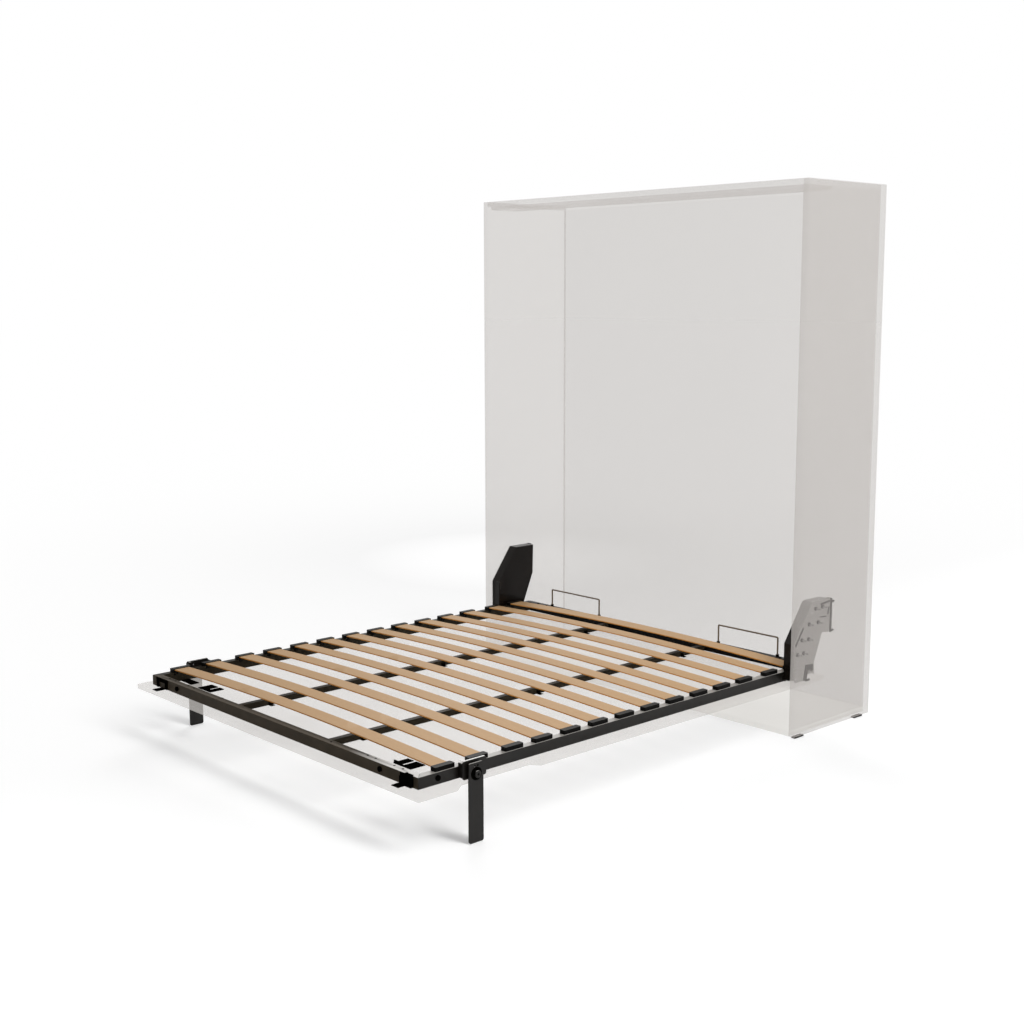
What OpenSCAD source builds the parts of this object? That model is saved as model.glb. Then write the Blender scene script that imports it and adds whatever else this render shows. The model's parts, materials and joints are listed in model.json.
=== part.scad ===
// Wall bed, shown lowered: a shallow cabinet stands against the wall, and a slatted steel frame
// with the cabinet door under it folds down out of the cabinet on two side mechanisms.
// Millimetres. x runs across the bed, y runs from the foot end (minus) to the wall (plus),
// z runs up from the floor. The origin is under the middle of the whole object.

/* [Cabinet] */
// Overall width over both cabinet sides
cabinet_width = 1800; // [1500:1:2100]
// Overall height of the cabinet from the floor
cabinet_height = 2127; // [2080:1:2250]
// Depth of the cabinet from the wall to the front edge
cabinet_depth = 504; // [490:1:560]
// Thickness of a cabinet side
side_thickness = 25; // [16:1:32]
// Thickness of the cabinet top
top_thickness = 20; // [16:1:26]
// Thickness of the cabinet floor board
base_thickness = 22; // [16:1:26]
// Thickness of the back panel
back_thickness = 12; // [6:1:16]
// Depth of the stop board under the top, front to back
stop_board_depth = 155; // [80:1:200]
// Thickness of the stop board
stop_board_thickness = 16; // [12:1:20]
// Height of the pads under the sides
foot_height = 6; // [3:0.5:10]
// Length of a pad, front to back
foot_length = 56; // [40:1:100]

/* [Door] */
// Thickness of the door panel
door_thickness = 18; // [14:1:20]
// Gap between the door and each cabinet side
door_side_gap = 3; // [2:0.5:5]
// Gap between the closed door and the cabinet top
door_top_gap = 9; // [6:0.5:12]
// How far the door reaches past the frame at the foot end
door_overhang = 40; // [36:1:60]
// Gap between the door and the stop board when closed
door_stop_gap = 5; // [4:0.5:8]

/* [Bed frame] */
// Height of the door's upper face and of the frame's underside above the floor
frame_underside = 210; // [206:1:225]
// Width of the square frame tubes
rail_width = 30; // [28:0.5:32]
// Height of the outer frame tubes
rail_height = 39; // [36:0.5:42]
// Wall of the frame tubes
rail_wall = 2; // [1.5:0.1:3]
// Distance of the head end of the frame from the wall
head_gap = 290; // [285:1:310]
// Height of the two inner rails
mid_rail_height = 23; // [18:0.5:26]
// Width of the two inner rails
mid_rail_width = 25; // [20:0.5:28]
// Distance between the outer face of a side rail and the inner rail beside it
mid_rail_inset = 541; // [500:1:640]

/* [Slats] */
// Width of a slat
slat_width = 64; // [54:0.5:68]
// Width of the wider slat at the head
head_slat_width = 72; // [60:0.5:74]
// Thickness of a slat
slat_thickness = 5; // [4.5:0.5:8]
// Upward bow of a slat at its middle
slat_bow = 18; // [8:0.5:24]
// Length of a slat holder along the rail
holder_length = 80; // [78:0.5:90]
// Width of a slat holder across the rail
holder_width = 25; // [22:0.5:27]
// Height of a slat holder above the rail
holder_height = 14; // [12:0.5:16]

// Middle of the first slat, from the foot end of the frame
first_slat_back = 112; // [100:1:125]
// Middle of the second slat, from the foot end of the frame
second_slat_back = 251; // [235:1:265]
// Middle of the third slat, from the foot end of the frame
third_slat_back = 405; // [390:1:420]
// Middle of the twelfth slat, ahead of the bed pivot
twelfth_slat_ahead = 232; // [215:1:245]
// Middle of the thirteenth slat, ahead of the bed pivot
thirteenth_slat_ahead = 76; // [74:1:90]
// Middle of the head slat, behind the bed pivot
head_slat_behind = 64; // [60:1:75]

/* [Mattress hoops] */
// Width of a hoop over its two uprights, wire middle to wire middle
hoop_width = 308; // [260:1:340]
// Height of a hoop above the head rail
hoop_height = 82; // [70:1:100]
// Diameter of the hoop wire
hoop_wire = 7; // [6:0.5:9]
// Distance of each hoop's middle from the outer face of the side rail
hoop_inset = 319; // [260:1:360]

/* [Legs] */
// Width of a folding leg
leg_width = 59; // [50:0.5:70]
// Thickness of a folding leg
leg_thickness = 6; // [5:0.5:8]
// Distance of the leg pivots from the foot end of the frame
leg_setback = 204; // [190:1:220]
// Diameter of the leg pivot bolt
leg_bolt = 10; // [8:0.5:12]

/* [Mechanism] */
// Width of a mechanism housing, out from the cabinet side
cover_width = 47; // [46:0.5:50]
// Gap between a housing and the bed frame
cover_gap = 5; // [4.8:0.1:7]
// Sheet thickness of the housings
cover_sheet = 2; // [1.5:0.1:2.5]
// Thickness of the mounting plate on the cabinet side
plate_thickness = 3; // [2:0.5:3]
// Height of the bed pivot above the door's upper face
pivot_over_door = 16; // [16:0.5:18]
// Height of a housing's top above the pivot
cover_rise = 293; // [280:1:310]
// Diameter of the pivot pins
pivot_pin = 12; // [10:0.5:13]
// Diameter of a gas strut
strut_body = 20; // [18:0.5:20]
// Diameter of a strut's piston rod
strut_rod = 10; // [8:0.5:11]
// Length of the lever that pushes on the strut
lever_length = 55; // [50:1:58]

/* [Hidden] */
SLATS = 14;

// Running clearance of a shaft in its hole, on the radius
running = 0.05;
// Small gap of a piece in its pocket
slip = 0.2;
// Gap beside a turning piece
beside = 0.3;

inner_half = cabinet_width / 2 - side_thickness;
top_under = cabinet_height - top_thickness;
base_top = foot_height + base_thickness;

door_under = frame_underside - door_thickness;
door_half = inner_half - door_side_gap;
pivot_z = frame_underside + pivot_over_door;
pivot_back = cabinet_depth - (pivot_z - door_under);
reach = pivot_back + top_under - door_top_gap - pivot_z;
foot_front = reach - door_overhang;
door_head = head_gap - 10;
stop_front = cabinet_depth - door_thickness - door_stop_gap;

rail_out = inner_half - cover_width - cover_gap;
rail_in = rail_out - rail_width;
mid_rail_offset = rail_out - mid_rail_inset;
hoop_offset = rail_out - hoop_inset;
// The ferrules' rims line up with the head rail's rear face
ferrule_wall = 3.5;
hoop_back = head_gap + hoop_wire / 2 + ferrule_wall;
head_front = head_gap + rail_width;
rail_top = frame_underside + rail_height;
holder_in = rail_in;
slat_top = rail_top + holder_height - 3;
slat_half = rail_in + 13;

slat_third = foot_front - third_slat_back;
slat_twelfth = pivot_back + twelfth_slat_ahead;
slat_pitch = (slat_third - slat_twelfth) / 9;

cover_in = inner_half - cover_width;
plate_in = inner_half - plate_thickness;
lever_in = cover_in + 10;
lever_sheet = 6;
hub_radius = 10;
strut_x = inner_half - 20;
// Outline points of the mechanism are set out for a rise of 293 and grow with it
unit = cover_rise / 293;
// Strut's upper eye and the lever's pin, from the bed pivot: y then z
strut_top = [98, 250] * unit;
lever_angle = 20;
lever_end = [lever_length * cos(lever_angle), lever_length * sin(lever_angle)];
lever_shut = [lever_length * sin(lever_angle), -lever_length * cos(lever_angle)];
strut_open = norm(strut_top - lever_end);
strut_shut = norm(strut_top - lever_shut);
strut_stroke = strut_shut - strut_open;
strut_tilt = atan2(strut_top[0] - lever_end[0], strut_top[1] - lever_end[1]);
tube_end = strut_open - 31;
rod_length = strut_shut - tube_end + 60;

leg_back = foot_front - leg_setback;
leg_z = frame_underside + 15;
leg_plate = rail_out + 22;
leg_in = leg_plate + 8;
leg_out = leg_in + leg_thickness;
leg_top = rail_top + 13;
lock_hole = 3.5;
lock_z = leg_top - 11;
// The lock holes lie ahead of the leg pivot
leg_lock = leg_back + 6;
bracket_lock = leg_back + 12;

// Mechanism bolts, from the bed pivot: y then z
plate_bolt_at = [for (p = [[118, 265], [162, 266], [78, 208], [136, 208],
                           [33, 152], [76, 149], [7, 98], [47, 98]]) p * unit];

steel = [0.17, 0.16, 0.15];
board = [0.80, 0.79, 0.77];
timber = [0.77, 0.65, 0.52];
black = [0.08, 0.08, 0.08];
bronze = [0.45, 0.42, 0.38];
bright = [0.62, 0.62, 0.60];

// Moves a piece measured from the wall, with minus y away from it, to its place
module from_wall() {
  translate([0, reach / 2, 0]) children();
}

// A piece measured from the bed pivot, profile in y and z, between two distances from the middle
module beside_pivot(side, near, far) {
  translate([side > 0 ? near : -far, -pivot_back, pivot_z])
    rotate([90, 0, 90]) linear_extrude(far - near) children();
}

// A round piece across the bed at a point from the bed pivot
module round_at(side, near, far, at, radius) {
  translate([side > 0 ? near : -far, at[0] - pivot_back, at[1] + pivot_z])
    rotate([0, 90, 0]) cylinder(r = radius, h = far - near, $fn = 48);
}

// A round piece across the bed at a distance from the wall and a height
module round_across(side, near, far, back, height, radius) {
  translate([side > 0 ? near : -far, -back, height])
    rotate([0, 90, 0]) cylinder(r = radius, h = far - near, $fn = 48);
}

// Flat rectangle with four rounded corners, exact arcs
module rounded(size, radius) {
  translate([radius, 0]) square([size[0] - 2 * radius, size[1]]);
  translate([0, radius]) square([size[0], size[1] - 2 * radius]);
  for (u = [radius, size[0] - radius], v = [radius, size[1] - radius])
    translate([u, v]) circle(r = radius, $fn = 32);
}

module side_panel(side) {
  color(board) from_wall() difference() {
    translate([side > 0 ? inner_half : -cabinet_width / 2, -cabinet_depth, foot_height])
      cube([side_thickness, cabinet_depth, cabinet_height - foot_height]);
    for (at = plate_bolt_at)
      round_at(side, inner_half - 1, inner_half + side_thickness - 3, at, 3 + running);
  }
}

module top_panel() {
  color(board) from_wall() translate([-inner_half, -cabinet_depth, top_under])
    cube([2 * inner_half, cabinet_depth, top_thickness]);
}

module base_panel() {
  color(board) from_wall() translate([-inner_half, -cabinet_depth, foot_height])
    cube([2 * inner_half, cabinet_depth, base_thickness]);
}

module back_panel() {
  color(board) from_wall() translate([-inner_half, -back_thickness, base_top])
    cube([2 * inner_half, back_thickness, top_under - base_top]);
}

module stop_board() {
  color(board) from_wall()
    translate([-inner_half, -stop_front, top_under - stop_board_thickness])
      cube([2 * inner_half, stop_board_depth, stop_board_thickness]);
}

module feet() {
  width = 17;
  outside = cabinet_width / 2 - 1;
  color(black) from_wall()
    for (side = [-1, 1], back = [cabinet_depth - 9, foot_length + 40])
      translate([side > 0 ? outside - width : -outside, -back, 0])
        cube([width, foot_length, foot_height]);
}

module mechanism_plate(side) {
  color(steel) from_wall() {
    difference() {
      beside_pivot(side, plate_in, inner_half)
        polygon([for (p = [[-14, -3], [-14, 140], [98, 293], [224, 293], [222, 155],
                           [167, 162], [119, 50], [121, 10], [97, 10], [86, -12], [-1, -12]])
                   p * unit]);
      for (at = plate_bolt_at)
        round_at(side, plate_in - 1, inner_half + 1, at, 3 + running);
      round_at(side, plate_in - 1, inner_half + 1, [0, 0], pivot_pin / 2 - 2);
      round_at(side, plate_in - 1, inner_half + 1, strut_top, 3);
    }
    // Rear flange, and the two studs on it
    beside_pivot(side, plate_in - 17, plate_in)
      translate([220, 155] * unit) square([plate_thickness, 138 * unit]);
    for (height = [162, 279])
      translate([side * (plate_in - 10), 221 * unit - pivot_back, pivot_z + height * unit])
        rotate([-90, 0, 0]) cylinder(r = 4, h = 19, $fn = 32);
  }
}

// Housing over a mechanism, open below, at the back and towards the cabinet side
module cover(side) {
  inner = cover_sheet;
  color(black) from_wall() {
    // Front, slope and top, bent from one strip
    beside_pivot(side, cover_in, plate_in)
      polygon([[-14 * unit, -4], [-14 * unit, 140 * unit], [98 * unit, cover_rise],
               [208 * unit, cover_rise], [208 * unit, cover_rise - inner],
               [98 * unit + inner / 2, cover_rise - inner],
               [-14 * unit + inner, 140 * unit - inner / 3], [-14 * unit + inner, -4]]);
    // Inner wall, its lower edge just over the pivot's hub
    beside_pivot(side, cover_in, cover_in + cover_sheet)
      polygon(concat([[-14 * unit, hub_radius + 3]],
                     [for (p = [[-14, 140], [98, 293], [208, 293], [205, 159], [152, 33]]) p * unit],
                     [[144 * unit, hub_radius + 3]]));
  }
}

module plate_bolts(side) {
  color(bright) from_wall() for (at = plate_bolt_at) {
    round_at(side, plate_in - 4, plate_in, at, 6.5);
    round_at(side, plate_in, inner_half + side_thickness - 3, at, 3);
  }
}

module pivot_pins() {
  color(bright) from_wall() for (side = [-1, 1]) {
    round_at(side, rail_out + 0.5, plate_in, [0, 0], pivot_pin / 2);
    round_at(side, plate_in, inner_half, [0, 0], pivot_pin / 2 - 2);
  }
}

module strut_pins() {
  color(bright) from_wall() for (side = [-1, 1]) {
    round_at(side, strut_x - 6, plate_in, strut_top, 5);
    round_at(side, strut_x - 8, strut_x - 6, strut_top, 7);
    round_at(side, plate_in, inner_half, strut_top, 3);
  }
}

// Hollow tube with square corners, along x
module tube_x(length, width, height) {
  difference() {
    cube([length, width, height]);
    translate([-1, rail_wall, rail_wall])
      cube([length + 2, width - 2 * rail_wall, height - 2 * rail_wall]);
  }
}

// Hollow tube with square corners, along y
module tube_y(width, length, height) {
  difference() {
    cube([width, length, height]);
    translate([rail_wall, -1, rail_wall])
      cube([width - 2 * rail_wall, length + 2, height - 2 * rail_wall]);
  }
}

// Cuts away what lies beyond a diagonal through a frame corner
module corner_cut(x, y, angle) {
  translate([x, y, frame_underside - 1]) rotate([0, 0, angle])
    translate([-2 * rail_width, 0, 0]) cube([4 * rail_width, 3 * rail_width, rail_height + 2]);
}

// Foot and head rails, mitred into the side rails
module end_rail(front, at_foot) {
  difference() {
    translate([-rail_out, -front, frame_underside]) tube_x(2 * rail_out, rail_width, rail_height);
    for (side = [-1, 1])
      corner_cut(side * rail_out, at_foot ? -front : -front + rail_width,
                 at_foot ? -side * 45 : 180 + side * 45);
  }
}

module foot_rail() {
  color(steel) from_wall() difference() {
    end_rail(foot_front, true);
    for (side = [-1, 1], x = [rail_in - 69, rail_in - 113, rail_in - 209, rail_in - 251])
      translate([side * x, -foot_front + 20, rail_top - rail_wall - 1])
        cylinder(d = 5, h = rail_wall + 2, $fn = 24);
  }
}

module head_rail() {
  color(steel) from_wall() difference() {
    end_rail(head_front, false);
    for (side = [-1, 1], end = [-1, 1])
      translate([side * hoop_offset + end * hoop_width / 2, -hoop_back, rail_top - rail_wall - 1])
        cylinder(d = hoop_wire, h = rail_wall + 2, $fn = 24);
  }
}

module side_rail(side) {
  color(steel) from_wall() difference() {
    translate([side > 0 ? rail_in : -rail_out, -foot_front, frame_underside])
      tube_y(rail_width, foot_front - head_gap, rail_height);
    corner_cut(side * rail_out, -foot_front, 180 - side * 45);
    corner_cut(side * rail_out, -head_gap, side * 45);
  }
}

module mid_rail(side) {
  color(steel) from_wall()
    translate([side * mid_rail_offset - mid_rail_width / 2, -foot_front + rail_width,
               frame_underside])
      tube_y(mid_rail_width, foot_front - rail_width - head_front, mid_rail_height);
}

function slat_back(n) =
  n == 1 ? foot_front - first_slat_back :
  n == 2 ? foot_front - second_slat_back :
  n == 13 ? pivot_back + thirteenth_slat_ahead :
  n == 14 ? pivot_back - head_slat_behind :
  slat_third - (n - 3) * slat_pitch;

// Bowed slat, its ends held inside the holders
module slat(n) {
  width = n == SLATS ? head_slat_width : slat_width;
  steps = 24;
  bow = [for (i = [0:steps]) let (u = 2 * i / steps - 1)
           [u * slat_half, slat_top + slat_bow * (1 - u * u)]];
  under = [for (i = [steps:-1:0]) [bow[i][0], bow[i][1] - slat_thickness]];
  color(timber) from_wall() translate([0, -slat_back(n) + width / 2, 0])
    rotate([90, 0, 0]) linear_extrude(width) polygon(concat(bow, under));
}

// One holder at the origin of its slat, pocket open to the middle of the bed
module holder(side, width) {
  pocket = slat_half - holder_in + slip;
  difference() {
    translate([side > 0 ? holder_in : -holder_in - holder_width, -holder_length / 2, rail_top])
      linear_extrude(holder_height) rounded([holder_width, holder_length], 4);
    translate([side > 0 ? holder_in - 1 : -holder_in - pocket, -width / 2 - slip,
               slat_top - slat_thickness - slip])
      cube([pocket + 1, width + 2 * slip, slat_thickness + 1.2]);
  }
  // Lip that hooks down behind the rail's inner edge
  translate([side > 0 ? holder_in - 3 : -holder_in, -holder_length / 2 + 6, rail_top - 9])
    cube([3, 16, 11]);
}

module holders(side) {
  color(black) from_wall() for (n = [1:SLATS])
    translate([0, -slat_back(n), 0]) holder(side, n == SLATS ? head_slat_width : slat_width);
}

// Wire hoop that keeps the mattress in place while the bed stands upright
module hoop(side) {
  bend = 5;
  radius = hoop_wire / 2;
  top = rail_top + hoop_height - radius;
  color(bronze) from_wall() translate([side * hoop_offset, -hoop_back, 0]) {
    for (end = [-1, 1]) {
      translate([end * hoop_width / 2, 0, rail_top - rail_wall])
        cylinder(r = radius, h = top - bend - rail_top + rail_wall, $fn = 24);
      translate([end * (hoop_width / 2 - bend), 0, top - bend]) rotate([90, 0, 0])
        rotate([0, 0, end > 0 ? 0 : 90]) rotate_extrude(angle = 90, $fn = 48)
          translate([bend, 0]) circle(r = radius, $fn = 24);
    }
    translate([-hoop_width / 2 + bend, 0, top]) rotate([0, 90, 0])
      cylinder(r = radius, h = hoop_width - 2 * bend, $fn = 24);
  }
}

module hoop_ferrules() {
  color(black) from_wall() for (side = [-1, 1], end = [-1, 1])
    translate([side * hoop_offset + end * hoop_width / 2, -hoop_back, rail_top])
      difference() {
        cylinder(r = hoop_wire / 2 + ferrule_wall, h = 8, $fn = 32);
        translate([0, 0, -1]) cylinder(r = hoop_wire / 2, h = 10, $fn = 24);
      }
}

// The cabinet's front: it hangs under the frame, with a notch for each folding leg
module door_panel() {
  notch_x = leg_plate - 3 - slip;
  front_in = leg_back + leg_width / 2 + 18;
  front_out = front_in + 40;
  rear_in = leg_back - leg_z - 18;
  rear_out = rear_in - 25;
  color(board) from_wall() translate([0, 0, door_under]) linear_extrude(door_thickness)
    polygon([[-door_half, -reach], [door_half, -reach],
             [door_half, -front_out], [notch_x, -front_in],
             [notch_x, -rear_in], [door_half, -rear_out],
             [door_half, -door_head], [-door_half, -door_head],
             [-door_half, -rear_out], [-notch_x, -rear_in],
             [-notch_x, -front_in], [-door_half, -front_out]]);
}

// Clip on the front of the foot rail, with a tab that rests on the door
module corner_clip(side) {
  near = rail_in - 55;
  color(black) from_wall() {
    translate([side > 0 ? near : -near - 22, -foot_front - 4, frame_underside + 3])
      cube([22, 4, rail_height - 4]);
    translate([side > 0 ? near + 34 : -near - 56, -foot_front - 4, frame_underside + 3])
      cube([22, 4, rail_height - 4]);
    translate([side > 0 ? near : -near - 56, -foot_front - 4, frame_underside + 3])
      cube([56, 4, 6]);
    translate([side > 0 ? near - 6 : -near - 28, -foot_front - 34, frame_underside])
      cube([34, 34, 3]);
  }
}

// Forked plate inside a foot corner that holds the door, and the rail's own tab beside it
module door_bracket(side) {
  near = rail_in - 226;
  far = near + 90;
  slot_near = near + 31;
  slot_far = near + 44;
  front = foot_front - 102;
  rear = front - 61;
  web = 10;
  sheet = 3;
  lip = 13;
  tab = 78;
  color(black) from_wall() {
    for (part = [[near, slot_near], [slot_far, far]])
      translate([side > 0 ? part[0] : -part[1], -front, frame_underside])
        cube([part[1] - part[0], front - rear, sheet]);
    translate([side > 0 ? slot_near : -slot_far, -front, frame_underside])
      cube([slot_far - slot_near, web, sheet]);
    translate([side > 0 ? near + 3 : -near - 23, -front, frame_underside])
      cube([20, sheet, lip]);
    translate([side > 0 ? rail_in - tab : -rail_in, -front + 4, frame_underside])
      cube([tab, 36, sheet]);
  }
}

// Small angles that tie the inner rails down to the door
module rail_clips() {
  length = 18;
  sheet = 2;
  first = foot_front - 180;
  last = head_front + 146;
  color(black) from_wall() for (side = [-1, 1], back = [first, (first + last) / 2, last])
    translate([side * mid_rail_offset + mid_rail_width / 2, -back - length / 2,
               frame_underside]) {
      cube([length, length, sheet]);
      cube([sheet, length, 15]);
    }
}

// Channel bolted to a side rail, carrying a leg on its outer wall
module leg_bracket(side) {
  length = 98;
  height = 60;
  ahead = 44;
  sheet = 3;
  color(steel) from_wall() difference() {
    union() {
      translate([side > 0 ? leg_plate - sheet : -leg_plate, -leg_back - ahead, frame_underside - 2])
        rotate([90, 0, 90]) linear_extrude(sheet) rounded([length, height], 8);
      for (y = [-ahead, length - ahead - sheet])
        translate([side > 0 ? rail_out : -leg_plate + sheet, -leg_back + y, frame_underside + 4])
          cube([leg_plate - sheet - rail_out, sheet, height - 12]);
      translate([side > 0 ? leg_plate : -leg_in + beside, -leg_back, leg_z])
        rotate([0, 90, 0]) cylinder(r = 12, h = leg_in - leg_plate - beside, $fn = 48);
    }
    round_across(side, leg_plate - 8, leg_in, leg_back, leg_z, leg_bolt / 2);
    round_across(side, leg_plate - 8, leg_in, bracket_lock, lock_z, lock_hole);
  }
}

module leg_bolts() {
  color(bright) from_wall() for (side = [-1, 1]) {
    round_across(side, leg_plate - 9, leg_out + beside, leg_back, leg_z, leg_bolt / 2);
    round_across(side, leg_plate - 9, leg_plate - 3, leg_back, leg_z, leg_bolt / 2 + 3);
    round_across(side, leg_out + beside, leg_out + beside + 2, leg_back, leg_z, 21);
    round_across(side, leg_out + beside + 2, leg_out + beside + 6, leg_back, leg_z, 9);
  }
}

// Flat leg; it turns on the bolt and lies along the rail when folded
module leg(side) {
  color(steel) from_wall() difference() {
    translate([side > 0 ? leg_in : -leg_out, -leg_back - leg_width / 2, 0])
      rotate([90, 0, 90]) linear_extrude(leg_thickness)
        rounded([leg_width, leg_top - 1], 7);
    round_across(side, leg_in - 1, leg_out + 1, leg_back, leg_z, leg_bolt / 2 + running);
    round_across(side, leg_in - 1, leg_out + 1, leg_lock, lock_z, lock_hole);
  }
}

module rail_screws() {
  color(black) from_wall() for (side = [-1, 1]) {
    round_across(side, rail_out, rail_out + 3.5, foot_front - 78, frame_underside + 21, 9);
    translate([side * (rail_in - 160), -foot_front, frame_underside + 21])
      rotate([90, 0, 0]) cylinder(r = 9, h = 5, $fn = 32);
    translate([side * (rail_in - 110), -head_gap - 22, rail_top])
      cylinder(r = 5, h = 2.5, $fn = 24);
    translate([side * (rail_in - 55), -head_gap - 22, rail_top])
      cylinder(r = 5, h = 2.5, $fn = 24);
  }
}

// Lever on a side rail: boss on the rail, hub on the pivot pin, arm up to the strut
module lever(side) {
  width = atan2(lever_end[1], lever_end[0]);
  color(steel) from_wall() difference() {
    union() {
      round_at(side, rail_out, cover_in - beside, [0, 0], pivot_over_door - 1);
      round_at(side, cover_in - beside - 1, lever_in + 1, [0, 0], hub_radius);
      round_at(side, rail_out, lever_in + 1, [lever_length - 10, -3], 6.5);
      beside_pivot(side, lever_in, lever_in + lever_sheet) {
        circle(r = 11, $fn = 48);
        rotate([0, 0, width]) translate([0, -9]) square([lever_length, 18]);
        translate(lever_end) circle(r = 10, $fn = 48);
        translate([lever_length - 10, -3]) circle(r = 8, $fn = 48);
        translate([0, -9.5]) square([lever_length - 10, 12]);
      }
    }
    round_at(side, rail_out - 1, lever_in + lever_sheet + 1, [0, 0], pivot_pin / 2 + running);
  }
}

// Places a piece drawn along the strut, upper eye at the origin and the rod pointing down
module along_strut(side) {
  translate([side * strut_x, strut_top[0] - pivot_back, strut_top[1] + pivot_z])
    rotate([-strut_tilt, 0, 0]) children();
}

module strut(side) {
  color(black) from_wall() along_strut(side) difference() {
    union() {
      translate([-4, 0, 0]) rotate([0, 90, 0]) cylinder(r = 11, h = 8, $fn = 48);
      translate([0, 0, -20]) cylinder(r = 4, h = 12, $fn = 32);
      translate([0, 0, -tube_end]) cylinder(d = strut_body, h = tube_end - 18, $fn = 48);
    }
    translate([-6, 0, 0]) rotate([0, 90, 0]) cylinder(r = 5 + running, h = 12, $fn = 48);
    translate([0, 0, -tube_end - 1])
      cylinder(r = strut_rod / 2 + running, h = tube_end - 29, $fn = 48);
  }
}

// Piston rod, with its lower eye and the pin that bears on the lever
module rod(side) {
  pin = strut_x - lever_in - lever_sheet - 0.4;
  color(bright) from_wall() along_strut(side) {
    translate([0, 0, -strut_open + 8]) cylinder(d = strut_rod, h = rod_length - 8, $fn = 48);
    translate([-4, 0, -strut_open]) rotate([0, 90, 0]) cylinder(r = 9.5, h = 8, $fn = 48);
    translate([side > 0 ? -pin : 0, 0, -strut_open]) rotate([0, 90, 0])
      cylinder(r = 5, h = pin, $fn = 48);
  }
}

side_panel(-1);  // side_left
side_panel(1);  // side_right
top_panel();
base_panel();
back_panel();
stop_board();
feet();
mechanism_plate(-1);  // mechanism_plate_left
mechanism_plate(1);  // mechanism_plate_right
cover(-1);  // cover_left
cover(1);  // cover_right
plate_bolts(-1);  // plate_bolts_left
plate_bolts(1);  // plate_bolts_right
pivot_pins();
strut_pins();
foot_rail();
head_rail();
side_rail(-1);  // side_rail_left
side_rail(1);  // side_rail_right
mid_rail(-1);  // mid_rail_left
mid_rail(1);  // mid_rail_right
for (n = [1:SLATS]) slat(n);
holders(-1);  // holders_left
holders(1);  // holders_right
hoop(-1);  // hoop_left
hoop(1);  // hoop_right
hoop_ferrules();
door_panel();
corner_clip(-1);  // corner_clip_left
corner_clip(1);  // corner_clip_right
door_bracket(-1);  // door_bracket_left
door_bracket(1);  // door_bracket_right
rail_clips();
leg_bracket(-1);  // leg_bracket_left
leg_bracket(1);  // leg_bracket_right
leg_bolts();
rail_screws();
lever(-1);  // lever_left
lever(1);  // lever_right
leg(-1);  // leg_left
leg(1);  // leg_right
strut(-1);  // strut_left
strut(1);  // strut_right
rod(-1);  // rod_left
rod(1);  // rod_right
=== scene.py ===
import json
import math

import bmesh
import bpy
from mathutils import Matrix, Vector


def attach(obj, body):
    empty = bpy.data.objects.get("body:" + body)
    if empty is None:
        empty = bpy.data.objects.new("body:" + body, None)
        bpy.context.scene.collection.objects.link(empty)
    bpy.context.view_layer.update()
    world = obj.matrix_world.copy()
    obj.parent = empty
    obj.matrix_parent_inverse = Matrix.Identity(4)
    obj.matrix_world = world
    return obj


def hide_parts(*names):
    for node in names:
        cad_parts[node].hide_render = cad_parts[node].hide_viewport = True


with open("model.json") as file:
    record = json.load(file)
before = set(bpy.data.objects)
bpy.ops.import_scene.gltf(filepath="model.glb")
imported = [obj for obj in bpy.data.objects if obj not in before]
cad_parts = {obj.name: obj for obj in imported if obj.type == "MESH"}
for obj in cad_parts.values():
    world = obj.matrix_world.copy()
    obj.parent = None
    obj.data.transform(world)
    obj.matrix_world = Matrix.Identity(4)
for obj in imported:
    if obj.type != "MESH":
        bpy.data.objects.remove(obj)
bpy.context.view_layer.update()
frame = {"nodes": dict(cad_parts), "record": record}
nodes = frame["nodes"]
scene = bpy.context.scene
scene.view_settings.view_transform = "Standard"

# Distance from the origin to the wall plane, in metres
WALL = 1.171
# One millimetre in metres
MM = 0.001
SIDES = (("left", -1), ("right", 1))

# The camera as solved from the photograph: angles in radians, place in metres from the wall
CAMERA_YAW = 0.829341929
CAMERA_PITCH = 0.149359045
CAMERA_ROLL = -0.00252401
CAMERA_PLACE = (4.091929, -4.904786, 1.695248)
FOCAL_PIXELS = 1423.881
PHOTO_PIXELS = 1024
SENSOR_WIDTH = 36
CLIP_START = 0.05
CLIP_END = 200


def make_camera():
    """The camera that took the photograph."""
    flat = math.cos(CAMERA_PITCH)
    ahead = Vector((-math.sin(CAMERA_YAW) * flat, math.cos(CAMERA_YAW) * flat,
                    -math.sin(CAMERA_PITCH)))
    level = Vector((math.cos(CAMERA_YAW), math.sin(CAMERA_YAW), 0))
    upright = level.cross(ahead)
    right = level * math.cos(CAMERA_ROLL) + upright * math.sin(CAMERA_ROLL)
    up = upright * math.cos(CAMERA_ROLL) - level * math.sin(CAMERA_ROLL)
    data = bpy.data.cameras.new("camera")
    data.sensor_width = SENSOR_WIDTH
    data.lens = FOCAL_PIXELS / PHOTO_PIXELS * SENSOR_WIDTH
    data.clip_start = CLIP_START
    data.clip_end = CLIP_END
    cam = bpy.data.objects.new("camera", data)
    scene.collection.objects.link(cam)
    x, y, z = CAMERA_PLACE
    turn = Matrix((right, up, -ahead)).transposed().to_4x4()
    cam.matrix_world = Matrix.Translation((x, y + WALL, z)) @ turn
    scene.camera = cam


def feed(tree, value, socket):
    """Links another node's output to a socket, or sets a plain value on it."""
    if isinstance(value, bpy.types.NodeSocket):
        tree.links.new(value, socket)
    else:
        socket.default_value = value


def number(tree, operation, a, b=0.0):
    """One step of arithmetic on two values, each a number or another node's output."""
    n = tree.nodes.new("ShaderNodeMath")
    n.operation = operation
    feed(tree, a, n.inputs[0])
    feed(tree, b, n.inputs[1])
    return n.outputs[0]


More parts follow.
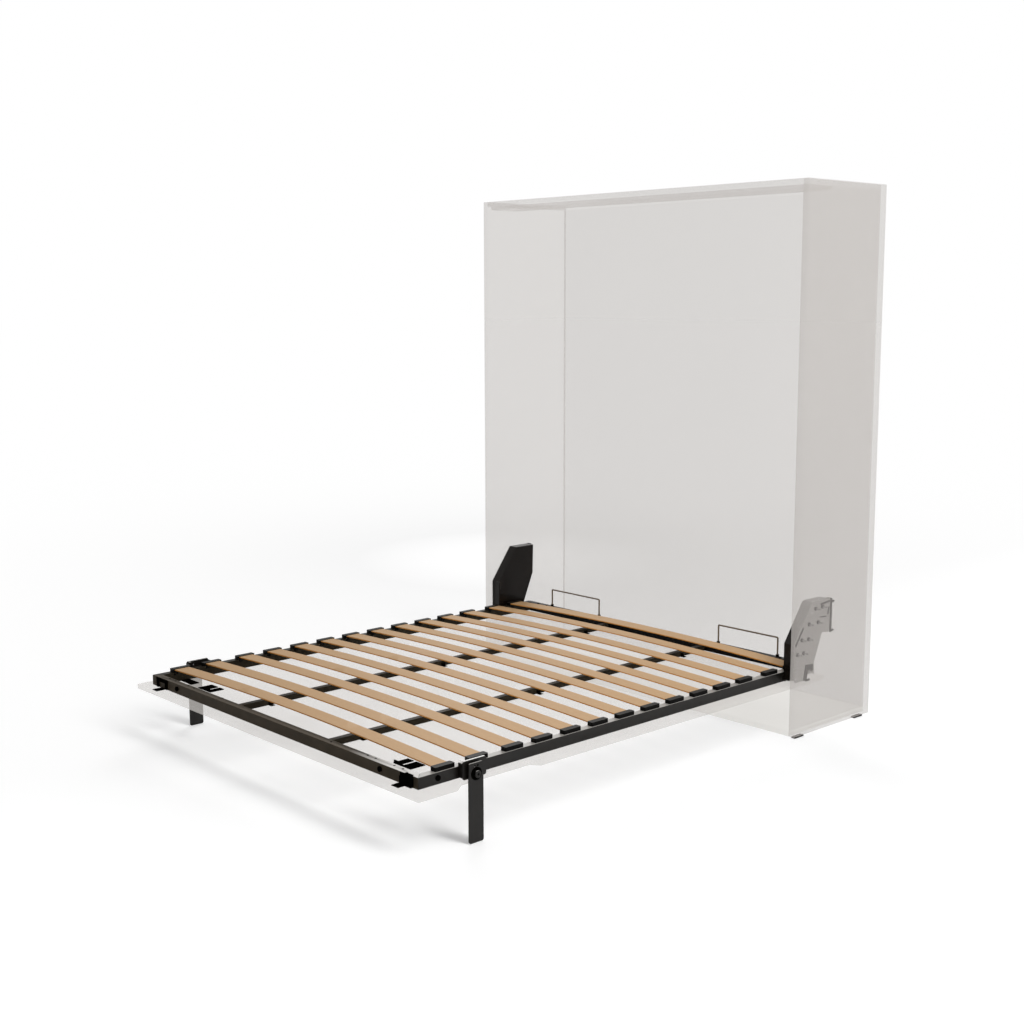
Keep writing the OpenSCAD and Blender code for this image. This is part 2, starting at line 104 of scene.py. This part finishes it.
def spread(tree, value, start, end, low=0.0, high=1.0):
    """Runs from low to high while the value runs from start to end, and stays level past them."""
    r = tree.nodes.new("ShaderNodeMapRange")
    for key, limit in (("From Min", start), ("From Max", end), ("To Min", low), ("To Max", high)):
        r.inputs[key].default_value = limit
    tree.links.new(value, r.inputs["Value"])
    return r.outputs["Result"]


def lin(r, g, b):
    """8-bit screen colour to the linear colour of a shader, by the sRGB curve."""
    return tuple(c / 12.92 if c <= 0.04045 else ((c + 0.055) / 1.055) ** 2.4
                 for c in (r / 255, g / 255, b / 255))


def darker(tone, steps):
    """A screen colour lowered by the same number of steps in every channel."""
    return [c - steps for c in tone]


# Of two tones, a noise below the start shows only the first, and above the end only the second
TONE_START = 0.3
TONE_END = 0.7


class Shader:
    """A node material on one Principled shader, with short helpers."""

    def __init__(self, name, **sockets):
        self.mat = bpy.data.materials.new(name)
        self.mat.use_nodes = True
        self.tree = self.mat.node_tree
        self.bsdf = self.tree.nodes["Principled BSDF"]
        for key, value in sockets.items():
            self.bsdf.inputs[key.replace("_", " ")].default_value = value
        self.coords = self.tree.nodes.new("ShaderNodeTexCoord")

    def link(self, a, b):
        self.tree.links.new(a, b)

    def noise(self, scale, detail, stretch=(1, 1, 1), rough=0.5, distortion=0.0):
        """A noise that stays on the piece when it moves."""
        place = self.tree.nodes.new("ShaderNodeMapping")
        place.inputs["Scale"].default_value = stretch
        self.link(self.coords.outputs["Object"], place.inputs["Vector"])
        n = self.tree.nodes.new("ShaderNodeTexNoise")
        n.inputs["Scale"].default_value = scale
        n.inputs["Detail"].default_value = detail
        n.inputs["Roughness"].default_value = rough
        n.inputs["Distortion"].default_value = distortion
        self.link(place.outputs["Vector"], n.inputs["Vector"])
        return n.outputs["Fac"]

    def tones(self, fac, *stops):
        """A colour that runs through (position, screen colour) stops."""
        r = self.tree.nodes.new("ShaderNodeValToRGB")
        band = r.color_ramp
        while len(band.elements) < len(stops):
            band.elements.new(0.5)
        for element, (position, tone) in zip(band.elements, stops):
            element.position = position
            element.color = (*lin(*tone), 1)
        self.link(fac, r.inputs["Fac"])
        return r.outputs["Color"]

    def two_tones(self, fac, low, high, start=TONE_START):
        return self.tones(fac, (start, low), (TONE_END, high))

    def level(self, fac, low, high):
        """A number from low to high, as a noise runs from 0 to 1."""
        return spread(self.tree, fac, 0.0, 1.0, low, high)

    def mix(self, fac, a, b):
        """A share fac of colour b over colour a, each an output or a screen colour."""
        m = self.tree.nodes.new("ShaderNodeMix")
        m.data_type = "RGBA"
        inputs = {(i.name, i.type): i for i in m.inputs}
        self.link(fac, inputs["Factor", "VALUE"])
        for name, value in (("A", a), ("B", b)):
            if isinstance(value, tuple):
                value = (*lin(*value), 1)
            feed(self.tree, value, inputs[name, "RGBA"])
        return [o for o in m.outputs if o.type == "RGBA"][0]

    def along(self, kind, axis):
        """One axis of the piece's own place or normal."""
        split = self.tree.nodes.new("ShaderNodeSeparateXYZ")
        self.link(self.coords.outputs[kind], split.inputs[0])
        return split.outputs[axis]

    def facing_up(self, start=0.6, end=0.9):
        """1 on the piece's own upper faces, also when it is turned."""
        return spread(self.tree, self.along("Normal", "Z"), start, end)

    def color(self, socket):
        self.link(socket, self.bsdf.inputs["Base Color"])

    def roughness(self, socket):
        self.link(socket, self.bsdf.inputs["Roughness"])

    def bump(self, height, strength, distance):
        b = self.tree.nodes.new("ShaderNodeBump")
        b.inputs["Strength"].default_value = strength
        b.inputs["Distance"].default_value = distance
        self.link(height, b.inputs["Height"])
        self.link(b.outputs["Normal"], self.bsdf.inputs["Normal"])

    def surface(self, wear, skin, detail=3):
        """Uneven roughness and a fine bump.

        wear is the noise scale of the roughness with its two ends, and detail goes with it. skin
        is the noise scale of the bump with its strength and its depth in metres.
        """
        self.roughness(self.level(self.noise(wear[0], detail), wear[1], wear[2]))
        self.bump(self.noise(skin[0], 2), skin[1], skin[2])


def pass_light(s, share):
    """Lets a share of the light through on its way to the floor, as the photograph shows."""
    path = s.tree.nodes.new("ShaderNodeLightPath")
    either = number(s.tree, "MAXIMUM", path.outputs["Is Shadow Ray"], path.outputs["Is Diffuse Ray"])
    clear = s.tree.nodes.new("ShaderNodeBsdfTransparent")
    mix = s.tree.nodes.new("ShaderNodeMixShader")
    s.link(number(s.tree, "MULTIPLY", either, share), mix.inputs[0])
    s.link(s.bsdf.outputs[0], mix.inputs[1])
    s.link(clear.outputs[0], mix.inputs[2])
    s.link(mix.outputs[0], s.tree.nodes["Material Output"].inputs["Surface"])


def board_material(name, body, own, glow, alpha=0.36):
    """A board drawn as the photograph draws it: see-through, with a faint glow of its own that is
    painted light, standing in for an even light on it.
    """
    s = Shader(name, Specular_IOR_Level=0.2, Alpha=alpha, Emission_Strength=glow)
    cloud = s.noise(1.1, 3)
    s.color(s.two_tones(cloud, darker(body, 4), body))
    s.link(s.two_tones(cloud, darker(own, 2), own), s.bsdf.inputs["Emission Color"])
    # So faint a light isn't sampled as a lamp
    s.mat.cycles.emission_sampling = "NONE"
    s.surface(wear=(9, 0.48, 0.62), skin=(420, 0.03, 0.3 * MM), detail=2)
    pass_light(s, 1.0)
    return s.mat


# Where the painted highlight on the black coat's upper faces sets in and where it is full, in metres
# to the right of the bed's middle
HIGHLIGHT_FROM = 0.46
HIGHLIGHT_TO = 0.68


def coat_material(name, low, high, sheen_tone, bright, gloss, tint=(255, 255, 255)):
    """Black powder coat: low to high on upright faces. The upper faces carry a painted sheen, which
    turns into a painted highlight towards the right.
    """
    s = Shader(name, Specular_IOR_Level=gloss, Specular_Tint=(*lin(*tint), 1))
    upright = s.two_tones(s.noise(14, 4), low, high)
    highlight_share = spread(s.tree, s.along("Object", "X"), HIGHLIGHT_FROM, HIGHLIGHT_TO)
    s.color(s.mix(s.facing_up(), upright, s.mix(highlight_share, sheen_tone, bright)))
    s.surface(wear=(40, 0.30, 0.42), skin=(1500, 0.12, 0.4 * MM))
    return s.mat


def holder_material():
    """Slat holders: deep black sides and an upper face painted lighter as a sheen."""
    s = Shader("moulded_plastic", Specular_IOR_Level=0.04)
    sides = s.two_tones(s.noise(60, 3), (6, 6, 5), (11, 10, 9))
    s.color(s.mix(s.facing_up(0.35, 0.8), sides, (27, 24, 20)))
    s.surface(wear=(500, 0.36, 0.5), skin=(2600, 0.15, 0.2 * MM))
    return s.mat


def plain_material(name, low, high, spots, wear, skin, gloss=0.5, metallic=0.0,
                   start=TONE_START):
    """A painted or plated surface in two tones. spots is their noise, as (scale, detail)."""
    s = Shader(name, Specular_IOR_Level=gloss, Metallic=metallic)
    s.color(s.two_tones(s.noise(*spots), low, high, start))
    s.surface(wear, skin)
    return s.mat


def slat_material():
    """Beech ply: fine pores along the slat, warm clouding, and darker cut edges with plies."""
    s = Shader("beech_slat", Specular_IOR_Level=0.08)
    grain = s.noise(34, 6, stretch=(1.2, 16, 16), rough=0.6, distortion=0.3)
    pores = s.noise(300, 3, stretch=(0.6, 9, 9), rough=0.6)
    cloud = s.noise(5, 3, stretch=(0.7, 3, 3))
    plies = s.noise(20, 2, stretch=(0.4, 0.4, 50))
    face = s.tones(grain, (0.25, (175, 141, 102)), (0.5, (185, 152, 114)), (0.78, (192, 162, 126)))
    face = s.mix(s.level(cloud, 0.0, 0.5), face, (187, 151, 111))
    face = s.mix(s.level(pores, 0.0, 0.18), face, (150, 112, 72))
    edge = s.tones(plies, (0.3, (176, 112, 44)), (0.55, (196, 132, 62)), (0.75, (158, 98, 36)))
    # The piece's own normal tells the broad faces from the cut edges
    broad = spread(s.tree, number(s.tree, "ABSOLUTE", s.along("Normal", "Z")), 0.45, 0.75)
    s.color(s.mix(broad, edge, face))
    s.roughness(s.level(pores, 0.48, 0.62))
    s.bump(pores, 0.06, 0.3 * MM)
    pass_light(s, 0.93)
    return s.mat


# The boards' glow is painted light. The base glows most and lets least through, which keeps it
# evenly pale over the shade on the floor beneath it.
BOARD = board_material("board", (98, 95, 92), (188, 183, 179), glow=0.74)
DOOR = board_material("door_board", (98, 96, 94), (190, 186, 182), glow=0.94)
BASE = board_material("base_board", (60, 58, 56), (218, 216, 212), glow=0.95, alpha=0.7)
# Every black coat has a painted sheen on its upper faces. FOOT, INNER and DEEP are lit and shaded
# copies of the coat. FOOT is painted lighter as a painted reflection on the foot rail's front and
# has a bright painted highlight on top at the right. INNER is painted lighter for the rails inside
# the frame. DEEP carries painted shade on the head rail under the slats.
STEEL = coat_material("powder_coat", (12, 10, 8), (18, 15, 12), (50, 47, 43), (142, 139, 134),
                      gloss=0.25)
FOOT = coat_material("powder_coat_foot", (51, 45, 36), (61, 53, 43), (64, 55, 42), (200, 197, 193),
                     gloss=0.04, tint=(250, 232, 208))
INNER = coat_material("powder_coat_inner", (32, 28, 21), (40, 35, 27), (34, 30, 23), (34, 30, 23),
                      gloss=0.04)
DEEP = coat_material("powder_coat_shaded", (5, 4, 3), (9, 8, 6), (24, 23, 21), (24, 23, 21),
                     gloss=0.06)
# The bracket rims are a painted highlight on the brackets' upper edge.
RIM = coat_material("painted_highlight_rim", (120, 117, 113), (150, 147, 142), (120, 118, 114),
                    (190, 188, 184), gloss=0.5)
HOLDER = holder_material()
COVER = plain_material("housing_paint", (13, 10, 7), (19, 14, 11), spots=(20, 3),
                       wear=(60, 0.18, 0.28), skin=(900, 0.05, 0.3 * MM), gloss=0.16)
FITTING = plain_material("black_fitting", (3, 3, 2), (7, 6, 5), spots=(90, 3),
                         wear=(200, 0.38, 0.52), skin=(1800, 0.1, 0.3 * MM), gloss=0.0, start=0.35)
PLATE = plain_material("plate_steel", (86, 83, 80), (98, 95, 92), spots=(12, 4),
                       wear=(90, 0.42, 0.56), skin=(1200, 0.06, 0.3 * MM), gloss=0.2)
WIRE = plain_material("hoop_wire", (86, 73, 56), (106, 91, 72), spots=(60, 3),
                      wear=(160, 0.3, 0.42), skin=(1500, 0.08, 0.2 * MM), gloss=0.4)
ZINC = plain_material("zinc", (150, 150, 146), (182, 182, 178), spots=(120, 4),
                      wear=(300, 0.26, 0.44), skin=(1600, 0.08, 0.2 * MM), metallic=1.0)
BEECH = slat_material()
BY_NODE = {"door_panel": DOOR, "base_panel": BASE, "foot_rail": FOOT, "side_rail_left": INNER,
           "mid_rail_left": INNER, "mid_rail_right": INNER, "head_rail": DEEP,
           "plate_bolts_left": FITTING, "plate_bolts_right": FITTING}
BY_SLOT = {"board": BOARD, "frame_steel": STEEL, "slat_wood": BEECH, "black_plastic": HOLDER,
           "cover_black": COVER, "black_fittings": FITTING, "hoop_wire": WIRE, "zinc": ZINC}

# Widths of the softened edges in metres, by material slot
EDGE_BY_SLOT = {"frame_steel": 1.6 * MM, "slat_wood": 1.6 * MM, "cover_black": 1.8 * MM,
                "black_fittings": 0.6 * MM, "black_plastic": 0.8 * MM, "board": 1.0 * MM}
# How the names of CAD pieces with finer edges start, and of round ones that stay as they are
FINE_EDGED = ("strut", "lever", "leg_bracket", "mechanism_plate")
FINE_EDGE = 0.5 * MM
ROUND_ALREADY = ("hoop", "rod")
OWN_EDGE = 0.4 * MM
WELD_REACH = 0.02 * MM
CAD_EDGE_ANGLE = math.radians(40)
OWN_EDGE_ANGLE = math.radians(35)
EDGE_STEPS = 2


def soften(obj, width, angle):
    """Rounds the edges that turn by more than an angle."""
    bevel = obj.modifiers.new("edges", "BEVEL")
    bevel.width = width
    bevel.segments = EDGE_STEPS
    bevel.limit_method = "ANGLE"
    bevel.angle_limit = angle


def dress_cad():
    """Gives every CAD node its material, and soft edges to those of the listed slots that aren't
    round already.
    """
    slots = {p["node"]: p["material_slot"] for p in frame["record"]["subparts"]}
    for name, obj in nodes.items():
        slot = slots[name]
        obj.data.materials.clear()
        obj.data.materials.append(BY_NODE.get(name, BY_SLOT[slot]))
        width = FINE_EDGE if name.startswith(FINE_EDGED) else EDGE_BY_SLOT.get(slot)
        if width is None or name.startswith(ROUND_ALREADY):
            continue
        weld = obj.modifiers.new("weld", "WELD")
        weld.merge_threshold = WELD_REACH
        soften(obj, width, CAD_EDGE_ANGLE)


def across(axis, pair, along):
    """A point in metres from two places of an outline and one across it, in millimetres."""
    at = list(pair)
    at.insert(axis, along)
    return Vector((at[0] * MM, at[1] * MM + WALL, at[2] * MM))


def settle(bm, name, material, body):
    """Turns a finished mesh into a piece that rides on a body."""
    bmesh.ops.recalc_face_normals(bm, faces=bm.faces)
    mesh = bpy.data.meshes.new(name)
    bm.to_mesh(mesh)
    bm.free()
    obj = bpy.data.objects.new(name, mesh)
    scene.collection.objects.link(obj)
    mesh.materials.append(material)
    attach(obj, body)
    return obj


def plate(name, axis, places, loops, material, body, soft=OWN_EDGE):
    """A flat piece from an outline and its holes, drawn across one axis between two places."""
    low, high = places
    bm = bmesh.new()
    edges = []
    for loop in loops:
        verts = [bm.verts.new(across(axis, p, low)) for p in loop]
        edges += [bm.edges.new((a, b)) for a, b in zip(verts, verts[1:] + verts[:1])]
    bmesh.ops.triangle_fill(bm, use_beauty=True, use_dissolve=False, edges=edges)
    grown = bmesh.ops.extrude_face_region(bm, geom=list(bm.faces))
    moved = [g for g in grown["geom"] if isinstance(g, bmesh.types.BMVert)]
    bmesh.ops.translate(bm, verts=moved, vec=across(axis, (0, 0), high) - across(axis, (0, 0), low))
    obj = settle(bm, name, material, body)
    if soft:
        soften(obj, soft, OWN_EDGE_ANGLE)
    return obj


def turned(name, axis, centre, profile, material, body, sides):
    """A round or hexagonal piece from (place along the axis, radius) pairs."""
    bm = bmesh.new()
    rings = []
    for along, radius in profile:
        ring = []
        for k in range(sides):
            angle = 2 * math.pi * k / sides
            pair = (centre[0] + radius * math.cos(angle), centre[1] + radius * math.sin(angle))
            ring.append(bm.verts.new(across(axis, pair, along)))
        rings.append(ring)
    for a, b in zip(rings, rings[1:]):
        for k in range(sides):
            bm.faces.new((a[k], a[(k + 1) % sides], b[(k + 1) % sides], b[k]))
    bm.faces.new(rings[0])
    bm.faces.new(rings[-1])
    return settle(bm, name, material, body)


# Straight steps around each end of a rounded slot
SLOT_STEPS = 5


def rounded_slot(a, b, width):
    """Outline of a rounded slot between two points."""
    angle = math.atan2(b[1] - a[1], b[0] - a[0])
    out = []
    for end, turn in ((b, -90), (a, 90)):
        for k in range(SLOT_STEPS + 1):
            t = angle + math.radians(turn + 180 * k / SLOT_STEPS)
            out.append((end[0] + width / 2 * math.cos(t), end[1] + width / 2 * math.sin(t)))
    return out


def on_side(side, pairs):
    """The pairs with their first place mirrored to the left, where side is -1."""
    return [(side * first, second) for first, second in pairs]


def both(side, places):
    """Two places across the bed mirrored to the left, where side is -1."""
    return [side * p for p in places]


# The axis that a flat piece is drawn across, or that a turned piece is turned about
X, Y, Z = 0, 1, 2
# How many sides a turned piece has
HEXAGON_SIDES = 6
STUD_SIDES = 16
RIVET_SIDES = 20
HEAD_SIDES = 32

# All shapes below are in millimetres from the wall, the middle of the bed and the floor.
# The mounting plate in side view, its slots as (end, end, width), and its bolts from the pivot
PIVOT = (-470, 226)
BOLTS = [(118, 265), (162, 266), (78, 208), (136, 208), (33, 152), (76, 149), (7, 98), (47, 98)]
PLATE_OUTLINE = [(-484, 230), (-484, 366), (-372, 519), (-254, 519), (-254, 382), (-303, 388),
                 (-351, 276), (-347, 227), (-360, 230), (-364, 262), (-402, 268), (-414, 212),
                 (-470, 213)]
PLATE_SLOTS = [((-429, 422), (-473, 361), 9), ((-316, 503), (-260, 508), 7),
               ((-263, 482), (-268, 459), 8), ((-318, 452), (-280, 449), 5)]
PLATE_PLACES = (872, 874.8)
# Hem, hook and nuts, and the black slot fillers that are painted shade, are let a few millimetres
# into the side board
HEM_OUTLINE = [(-254.5, 382), (-246, 381), (-246, 519), (-254.5, 519)]
HEM_PLACES = (856, 879)
HEM_STUD_X = 876
HEM_STUD_HEIGHTS = (388, 505)
HEM_STUD = [(-247, 4.5), (-233, 4.5), (-232, 3.5)]
HOOK_OUTLINE = [(-420, 213), (-408, 274), (-362, 270), (-359, 248), (-368, 243), (-378, 252),
                (-393, 250), (-401, 211)]
HOOK_PLACES = (862, 878)
HOOK_STUD_AT = (874, 211)
HOOK_STUD = [(-404, 4.5), (-379, 4.5), (-378, 3.5)]
SLOT_SHADE_PLACES = (871, 876.5)
SLOT_SHADE_PLAY = 0.6
NUT = [(875.2, 8), (880, 8), (881, 7)]


def make_mechanism_plates():
    """The mounting plates with their slots, hook, hem and the hexagon nuts in the board."""
    for word, side in SIDES:
        slots = [rounded_slot(*s) for s in PLATE_SLOTS]
        main = plate("mount_plate_" + word, X, both(side, PLATE_PLACES), [PLATE_OUTLINE] + slots,
                     PLATE, "cabinet")
        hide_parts("mechanism_plate_" + word)
        plate("plate_hem_" + word, X, both(side, HEM_PLACES), [HEM_OUTLINE], FITTING, "cabinet")
        plate("plate_hook_" + word, X, both(side, HOOK_PLACES), [HOOK_OUTLINE], FITTING, "cabinet")
        turned("hook_stud_" + word, Y, (side * HOOK_STUD_AT[0], HOOK_STUD_AT[1]), HOOK_STUD,
               FITTING, "cabinet", STUD_SIDES)
        # Each slot is filled with a black piece a little narrower than it, as painted shade where
        # the slot shows only shade.
        for n, (a, b, width) in enumerate(PLATE_SLOTS):
            plate("slot_shade_%s_%d" % (word, n), X, both(side, SLOT_SHADE_PLACES),
                  [rounded_slot(a, b, width - SLOT_SHADE_PLAY)], FITTING, "cabinet")
        for n, height in enumerate(HEM_STUD_HEIGHTS):
            turned("hem_stud_%s_%d" % (word, n), Y, (side * HEM_STUD_X, height), HEM_STUD,
                   FITTING, "cabinet", STUD_SIDES)
        for n, (y, z) in enumerate(BOLTS):
            turned("board_nut_%s_%d" % (word, n), X, (PIVOT[0] + y, PIVOT[1] + z),
                   on_side(side, NUT), FITTING, "cabinet", HEXAGON_SIDES)


# Corner clips on the foot rail: front views, views from above, and where each is drawn across
BLOCK_OUTLINE = [(742, 212), (800, 212), (800, 249), (794, 252), (786, 252), (784, 246),
                 (776, 246), (774, 254), (767, 254), (765, 246), (752, 240), (742, 240)]
BLOCK_PLACES = (-2313, -2301.5)
BLOCK_CAP_OUTLINE = [(764, -2312), (796, -2312), (796, -2297), (764, -2297)]
BLOCK_CAP_PLACES = (249.2, 251)
ARCH_OUTLINE = [(-783, 212), (-783, 249), (-705, 249), (-705, 212), (-719, 212), (-719, 236),
                (-769, 236), (-769, 212)]
ARCH_PLACES = (-2308, -2301.5)
ARCH_HOOK_OUTLINE = [(-754, -2341), (-721, -2341), (-721, -2303), (-754, -2303)]
ARCH_HOOK_PLACES = (210.2, 213)


def make_corner_clips():
    """The right clip is a toothed block and the left one an arch, as photographed."""
    plate("clip_block_right", Y, BLOCK_PLACES, [BLOCK_OUTLINE], FITTING, "bed")
    plate("clip_cap_right", Z, BLOCK_CAP_PLACES, [BLOCK_CAP_OUTLINE], FITTING, "bed")
    arch = plate("clip_arch_left", Y, ARCH_PLACES, [ARCH_OUTLINE], FITTING, "bed")
    hook = plate("clip_hook_left", Z, ARCH_HOOK_PLACES, [ARCH_HOOK_OUTLINE], FITTING, "bed")
    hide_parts("corner_clip_left")
    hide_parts("corner_clip_left")


# Caps along the foot rail's upper face: one in each of its eight holes, and one by itself
CAP_PLACES = [(side * x, -2282) for side in (-1, 1) for x in (542, 584, 680, 724)] + [(348, -2287)]
CAP = [(248.6, 4.2), (249.15, 4.2), (249.25, 3.4)]
SEAM_OUTLINE = [(-355.5, -2300), (-352.5, -2300), (-352.5, -2271), (-355.5, -2271)]
SEAM_PLACES = (248.6, 249.12)


def make_rail_marks():
    """Flat caps in the foot rail's holes, and the seam where its two tubes meet."""
    for n, place in enumerate(CAP_PLACES):
        turned("rail_cap_%d" % n, Z, place, CAP, FITTING, "bed", STUD_SIDES)
    plate("foot_rail_seam", Z, SEAM_PLACES, [SEAM_OUTLINE], FITTING, "bed", 0)


# The right leg's bracket rim, a strip of painted highlight, from above, and its bolt and rivet in
# side view
RIM_OUTLINE = [(823.5, -2138), (845, -2138), (845, -2050), (838, -2050), (838, -2131),
               (823.5, -2131)]
RIM_PLACES = (268.1, 269)
RIM_EDGE = 0.2 * MM
LEG_BOLT_AT = (-2098, 225)
LEG_BOLT_HEAD = [(865.4, 12), (868.4, 12), (869.4, 11)]
LEG_BOLT_SOCKET = [(869.4, 4), (869.7, 4)]
LOCK_RIVET_AT = (-2092, 251)
LOCK_RIVET = [(859.1, 3.4), (859.5, 3.4)]


def make_leg_fittings():
    """The leg brackets' rims of painted highlight, the leg bolts' heads with their sockets, and lock
    rivets.
    """
    for word, side in SIDES:
        plate("bracket_rim_" + word, Z, RIM_PLACES, [on_side(side, RIM_OUTLINE)], RIM, "bed",
              RIM_EDGE)
        turned("leg_bolt_head_" + word, X, LEG_BOLT_AT, on_side(side, LEG_BOLT_HEAD), STEEL,
               "bed", HEAD_SIDES)
        turned("leg_bolt_socket_" + word, X, LEG_BOLT_AT, on_side(side, LEG_BOLT_SOCKET),
               FITTING, "bed", HEXAGON_SIDES)
        turned("lock_rivet_" + word, X, LOCK_RIVET_AT, on_side(side, LOCK_RIVET), FITTING,
               "leg_" + word, RIVET_SIDES)


# Strength of the light from all round, where 1 shows a white surface as full white
AROUND = 0.40
# The key lamps stand in an arc over the bed's right side, in metres around its centre.
# Each lamp's reach goes by its angle over the floor, in degrees.
KEY_DISTANCE = 5.2
KEY_CENTRE = (0, -0.2, 0.2)
KEY_RADIUS = 0.8
KEY_REACHES = {32: 4.4, 41: 4.0, 50: 3.4, 59: 2.8, 68: 2.2}
BACK_LAMP = {"at": (-2.9, 2.6, 2.7), "radius": 1.1, "reach": 5.2}


def key_lamp(degrees, reach):
    """One lamp of the arc, as what make_lamp takes."""
    angle = math.radians(degrees)
    x, y, z = KEY_CENTRE
    at = (x + KEY_DISTANCE * math.cos(angle), y, z + KEY_DISTANCE * math.sin(angle))
    return {"at": at, "radius": KEY_RADIUS, "reach": reach}


LAMPS = [key_lamp(*one) for one in KEY_REACHES.items()] + [BACK_LAMP]

# The floor reaches far past the camera, and lies just under the cabinet's pads
FLOOR_SIZE = 160
FLOOR_HEIGHT = -0.6 * MM
# The share of light that the floor throws back, and how bright it looks in the open
FLOOR_SHADE = 0.90
FLOOR_WHITE = 1.0
# The floor grows a little brighter towards the key lamps, between these places in X
FLOOR_GAIN = 0.07
FLOOR_GAIN_FROM = -0.7
FLOOR_GAIN_TO = 0.5


def make_lamp(at, radius, reach):
    """A round lamp that shows a white surface one metre away as reach times full white."""
    data = bpy.data.lights.new("lamp", "POINT")
    data.energy = reach * 4 * math.pi ** 2
    data.shadow_soft_size = radius
    obj = bpy.data.objects.new("lamp", data)
    obj.location = at
    obj.visible_camera = False
    scene.collection.objects.link(obj)


def ray_seen(tree):
    """1 for camera, glossy and transmission rays, so that gloss shows the background too."""
    path = tree.nodes.new("ShaderNodeLightPath")
    value = path.outputs["Is Camera Ray"]
    for name in ("Is Glossy Ray", "Is Transmission Ray"):
        value = number(tree, "MAXIMUM", value, path.outputs[name])
    return value


def light_on_floor(tree, place, at, reach):
    """Light of one lamp on the open floor: it falls off with the cube of the distance."""
    far = tree.nodes.new("ShaderNodeVectorMath")
    far.operation = "DISTANCE"
    far.inputs[1].default_value = at
    tree.links.new(place, far.inputs[0])
    cubed = number(tree, "POWER", far.outputs["Value"], 3.0)
    return number(tree, "DIVIDE", reach * at[2], cubed)


def floor_material():
    """A white that shows the shadows and nothing else of the light's unevenness."""
    mat = bpy.data.materials.new("floor")
    mat.use_nodes = True
    tree = mat.node_tree
    tree.nodes.clear()
    place = tree.nodes.new("ShaderNodeTexCoord").outputs["Object"]
    light = AROUND
    for one in LAMPS:
        light = number(tree, "ADD", light_on_floor(tree, place, one["at"], one["reach"]), light)
    shaded = number(tree, "MULTIPLY", light, FLOOR_SHADE)
    split = tree.nodes.new("ShaderNodeSeparateXYZ")
    tree.links.new(place, split.inputs[0])
    white = spread(tree, split.outputs["X"], FLOOR_GAIN_FROM, FLOOR_GAIN_TO, FLOOR_WHITE,
                   FLOOR_WHITE + FLOOR_GAIN)
    own = number(tree, "MAXIMUM", number(tree, "SUBTRACT", white, shaded), 0.0)
    diffuse = tree.nodes.new("ShaderNodeBsdfDiffuse")
    diffuse.inputs["Color"].default_value = (FLOOR_SHADE, FLOOR_SHADE, FLOOR_SHADE, 1)
    glow = tree.nodes.new("ShaderNodeEmission")
    tree.links.new(number(tree, "MULTIPLY", own, ray_seen(tree)), glow.inputs["Strength"])
    add = tree.nodes.new("ShaderNodeAddShader")
    tree.links.new(diffuse.outputs[0], add.inputs[0])
    tree.links.new(glow.outputs[0], add.inputs[1])
    out = tree.nodes.new("ShaderNodeOutputMaterial")
    tree.links.new(add.outputs[0], out.inputs["Surface"])
    return mat


def make_floor():
    """A wide floor plane just under the cabinet's pads, with its own material."""
    bpy.ops.mesh.primitive_plane_add(size=FLOOR_SIZE, location=(0, 0, FLOOR_HEIGHT))
    floor = bpy.context.object
    floor.name = "floor"
    floor.data.materials.append(floor_material())


def make_world():
    """A white background that lights the object by less than it shows."""
    world = bpy.data.worlds.new("world")
    scene.world = world
    world.use_nodes = True
    tree = world.node_tree
    background = tree.nodes["Background"]
    background.inputs["Color"].default_value = (1, 1, 1, 1)
    strength = spread(tree, ray_seen(tree), 0.0, 1.0, AROUND, 1.0)
    tree.links.new(strength, background.inputs["Strength"])


make_camera()
dress_cad()
make_mechanism_plates()
make_corner_clips()
make_rail_marks()
make_leg_fittings()
make_floor()
make_world()
for one in LAMPS:
    make_lamp(**one)
